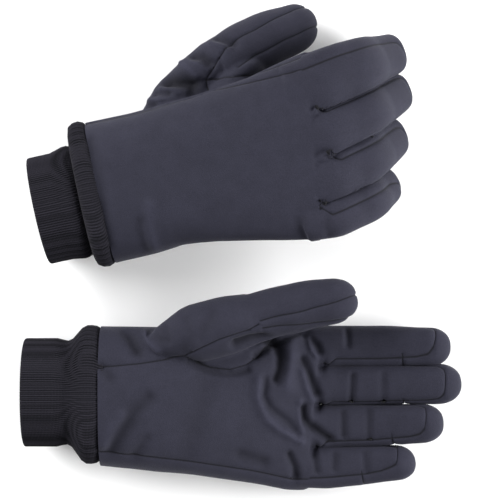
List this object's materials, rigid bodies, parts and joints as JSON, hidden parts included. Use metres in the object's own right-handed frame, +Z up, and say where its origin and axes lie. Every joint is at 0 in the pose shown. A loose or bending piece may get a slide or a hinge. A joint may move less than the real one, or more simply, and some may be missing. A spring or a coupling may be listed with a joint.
{
  "type": "cryogenic gloves",
  "caption": "Pair of dark insulated softshell gloves with sewn finger panels, thumb gussets, fleece liners and folded rib-knit wrist cuffs that bend at wrist and digits",
  "frame": {"origin": "under the middle of the pair, on the surface that it lies on", "axes": "+X from the cuffs to the fingertips, +Y from the left glove to the right glove, +Z up"},
  "size_m": [0.2892, 0.3032, 0.0807],
  "materials": {
    "softshell": "matte woven softshell, dark grey-blue",
    "rib_knit": "matte rib knit, dark grey-blue",
    "fleece": "brushed fleece, charcoal",
    "seam_tape": "matte woven tape, black"
  },
  "bodies": {
    "left_hand": {"left_back_panel": "softshell", "left_palm_panel": "softshell", "left_thumb_outer_panel": "softshell", "left_thumb_inner_panel": "softshell", "left_side_gusset": "softshell", "left_hand_liner": "fleece", "left_wrist_seam_tape": "seam_tape"},
    "left_cuff": {"left_cuff_outer_ply": "rib_knit", "left_cuff_inner_ply": "rib_knit"},
    "left_thumb_base": {"left_thumb_base_panels": "softshell", "left_thumb_base_liner": "fleece"},
    "left_thumb_tip": {"left_thumb_tip_panels": "softshell", "left_thumb_tip_liner": "fleece"},
    "left_index_base": {"left_index_base_panels": "softshell", "left_index_base_liner": "fleece"},
    "left_index_tip": {"left_index_tip_panels": "softshell", "left_index_tip_liner": "fleece"},
    "left_middle_base": {"left_middle_base_panels": "softshell", "left_middle_base_liner": "fleece"},
    "left_middle_tip": {"left_middle_tip_panels": "softshell", "left_middle_tip_liner": "fleece"},
    "left_ring_base": {"left_ring_base_panels": "softshell", "left_ring_base_liner": "fleece"},
    "left_ring_tip": {"left_ring_tip_panels": "softshell", "left_ring_tip_liner": "fleece"},
    "left_little_base": {"left_little_base_panels": "softshell", "left_little_base_liner": "fleece"},
    "left_little_tip": {"left_little_tip_panels": "softshell", "left_little_tip_liner": "fleece"},
    "right_hand": {"right_back_panel": "softshell", "right_palm_panel": "softshell", "right_thumb_outer_panel": "softshell", "right_thumb_inner_panel": "softshell", "right_side_gusset": "softshell", "right_hand_liner": "fleece", "right_wrist_seam_tape": "seam_tape"},
    "right_cuff": {"right_cuff_outer_ply": "rib_knit", "right_cuff_inner_ply": "rib_knit"},
    "right_thumb_base": {"right_thumb_base_panels": "softshell", "right_thumb_base_liner": "fleece"},
    "right_thumb_tip": {"right_thumb_tip_panels": "softshell", "right_thumb_tip_liner": "fleece"},
    "right_index_base": {"right_index_base_panels": "softshell", "right_index_base_liner": "fleece"},
    "right_index_tip": {"right_index_tip_panels": "softshell", "right_index_tip_liner": "fleece"},
    "right_middle_base": {"right_middle_base_panels": "softshell", "right_middle_base_liner": "fleece"},
    "right_middle_tip": {"right_middle_tip_panels": "softshell", "right_middle_tip_liner": "fleece"},
    "right_ring_base": {"right_ring_base_panels": "softshell", "right_ring_base_liner": "fleece"},
    "right_ring_tip": {"right_ring_tip_panels": "softshell", "right_ring_tip_liner": "fleece"},
    "right_little_base": {"right_little_base_panels": "softshell", "right_little_base_liner": "fleece"},
    "right_little_tip": {"right_little_tip_panels": "softshell", "right_little_tip_liner": "fleece"}
  },
  "joints": [
    {"name": "left_wrist", "type": "hinge", "parent": "left_hand", "child": "left_cuff", "pos_m": [-0.0936, -0.09128, 0.0277], "axis": [0, -1, 0], "range_deg": [-20, 20], "stiffness_Nm_per_rad": 0.3},
    {"name": "left_thumb_knuckle", "type": "hinge", "parent": "left_hand", "child": "left_thumb_base", "pos_m": [0.01066, -0.04178, 0.0447], "axis": [0.2244, -0.7332, -0.6419], "range_deg": [-5, 37], "stiffness_Nm_per_rad": 0.15},
    {"name": "left_thumb_middle", "type": "hinge", "parent": "left_thumb_base", "child": "left_thumb_tip", "pos_m": [0.03501, -0.03693, 0.04767], "axis": [0.2244, -0.7332, -0.6419], "range_deg": [-6, 42], "stiffness_Nm_per_rad": 0.15},
    {"name": "left_index_knuckle", "type": "hinge", "parent": "left_hand", "child": "left_index_base", "pos_m": [0.06063, -0.05767, 0.0157], "axis": [0.0087, -0.9994, 0.0349], "range_deg": [-5, 45], "stiffness_Nm_per_rad": 0.15},
    {"name": "left_index_middle", "type": "hinge", "parent": "left_index_base", "child": "left_index_tip", "pos_m": [0.08752, -0.05736, 0.01805], "axis": [0.0087, -0.9994, 0.0349], "range_deg": [-7, 55], "stiffness_Nm_per_rad": 0.15},
    {"name": "left_middle_knuckle", "type": "hinge", "parent": "left_hand", "child": "left_middle_base", "pos_m": [0.05805, -0.08439, 0.0157], "axis": [0.0087, -0.9962, 0.0872], "range_deg": [-6, 46], "stiffness_Nm_per_rad": 0.15},
    {"name": "left_middle_middle", "type": "hinge", "parent": "left_middle_base", "child": "left_middle_tip", "pos_m": [0.0859, -0.08389, 0.01862], "axis": [0.0087, -0.9962, 0.0872], "range_deg": [-7, 55], "stiffness_Nm_per_rad": 0.15},
    {"name": "left_ring_knuckle", "type": "hinge", "parent": "left_hand", "child": "left_ring_base", "pos_m": [0.05548, -0.1111, 0.0157], "axis": [0.026, -0.9922, 0.1219], "range_deg": [-8, 47], "stiffness_Nm_per_rad": 0.15},
    {"name": "left_ring_middle", "type": "hinge", "parent": "left_ring_base", "child": "left_ring_tip", "pos_m": [0.0822, -0.10994, 0.01943], "axis": [0.026, -0.9922, 0.1219], "range_deg": [-9, 53], "stiffness_Nm_per_rad": 0.15},
    {"name": "left_little_knuckle", "type": "hinge", "parent": "left_hand", "child": "left_little_base", "pos_m": [0.05291, -0.13781, 0.0157], "axis": [0.0603, -0.9858, 0.1564], "range_deg": [-8, 47], "stiffness_Nm_per_rad": 0.15},
    {"name": "left_little_middle", "type": "hinge", "parent": "left_little_base", "child": "left_little_tip", "pos_m": [0.0766, -0.13584, 0.019], "axis": [0.0603, -0.9858, 0.1564], "range_deg": [-9, 53], "stiffness_Nm_per_rad": 0.15},
    {"name": "right_wrist", "type": "hinge", "parent": "right_hand", "child": "right_cuff", "pos_m": [-0.0917, 0.03762, 0.0277], "axis": [-0.2152, 0.9765, -0.0131], "range_deg": [-30.8, 9.2], "stiffness_Nm_per_rad": 0.3},
    {"name": "right_thumb_knuckle", "type": "hinge", "parent": "right_hand", "child": "right_thumb_base", "pos_m": [-0.01186, 0.12387, 0.02992], "axis": [-0.3888, 0.6198, -0.6817], "range_deg": [-8, 34], "stiffness_Nm_per_rad": 0.15},
    {"name": "right_thumb_middle", "type": "hinge", "parent": "right_thumb_base", "child": "right_thumb_tip", "pos_m": [0.01105, 0.1323, 0.02452], "axis": [-0.3888, 0.6198, -0.6817], "range_deg": [-8, 40], "stiffness_Nm_per_rad": 0.15},
    {"name": "right_index_knuckle", "type": "hinge", "parent": "right_hand", "child": "right_index_base", "pos_m": [0.04838, 0.0993, 0.06808], "axis": [-0.3576, 0.9338, -0.0056], "range_deg": [-30, 20], "stiffness_Nm_per_rad": 0.15},
    {"name": "right_index_middle", "type": "hinge", "parent": "right_index_base", "child": "right_index_tip", "pos_m": [0.07218, 0.10836, 0.05909], "axis": [-0.3576, 0.9338, -0.0056], "range_deg": [-46, 16], "stiffness_Nm_per_rad": 0.15},
    {"name": "right_middle_knuckle", "type": "hinge", "parent": "right_hand", "child": "right_middle_base", "pos_m": [0.05098, 0.07259, 0.06782], "axis": [-0.3454, 0.9371, 0.05], "range_deg": [-31, 21], "stiffness_Nm_per_rad": 0.15},
    {"name": "right_middle_middle", "type": "hinge", "parent": "right_middle_base", "child": "right_middle_tip", "pos_m": [0.07544, 0.08213, 0.05808], "axis": [-0.3454, 0.9371, 0.05], "range_deg": [-46, 16], "stiffness_Nm_per_rad": 0.15},
    {"name": "right_ring_knuckle", "type": "hinge", "parent": "right_hand", "child": "right_ring_base", "pos_m": [0.05358, 0.04589, 0.06756], "axis": [-0.3506, 0.9327, 0.0842], "range_deg": [-32, 23], "stiffness_Nm_per_rad": 0.15},
    {"name": "right_ring_middle", "type": "hinge", "parent": "right_ring_base", "child": "right_ring_tip", "pos_m": [0.07682, 0.05551, 0.05776], "axis": [-0.3506, 0.9327, 0.0842], "range_deg": [-47, 15], "stiffness_Nm_per_rad": 0.15},
    {"name": "right_little_knuckle", "type": "hinge", "parent": "right_hand", "child": "right_little_base", "pos_m": [0.05617, 0.01918, 0.06729], "axis": [-0.3554, 0.9272, 0.1183], "range_deg": [-32, 23], "stiffness_Nm_per_rad": 0.15},
    {"name": "right_little_middle", "type": "hinge", "parent": "right_little_base", "child": "right_little_tip", "pos_m": [0.07668, 0.02814, 0.05863], "axis": [-0.3554, 0.9272, 0.1183], "range_deg": [-45, 17], "stiffness_Nm_per_rad": 0.15},
    {"name": "right_lift", "type": "slide", "parent": "left_hand", "child": "right_hand", "axis": [0, 0, 1], "range_m": [0, 0.12]}
  ]
}
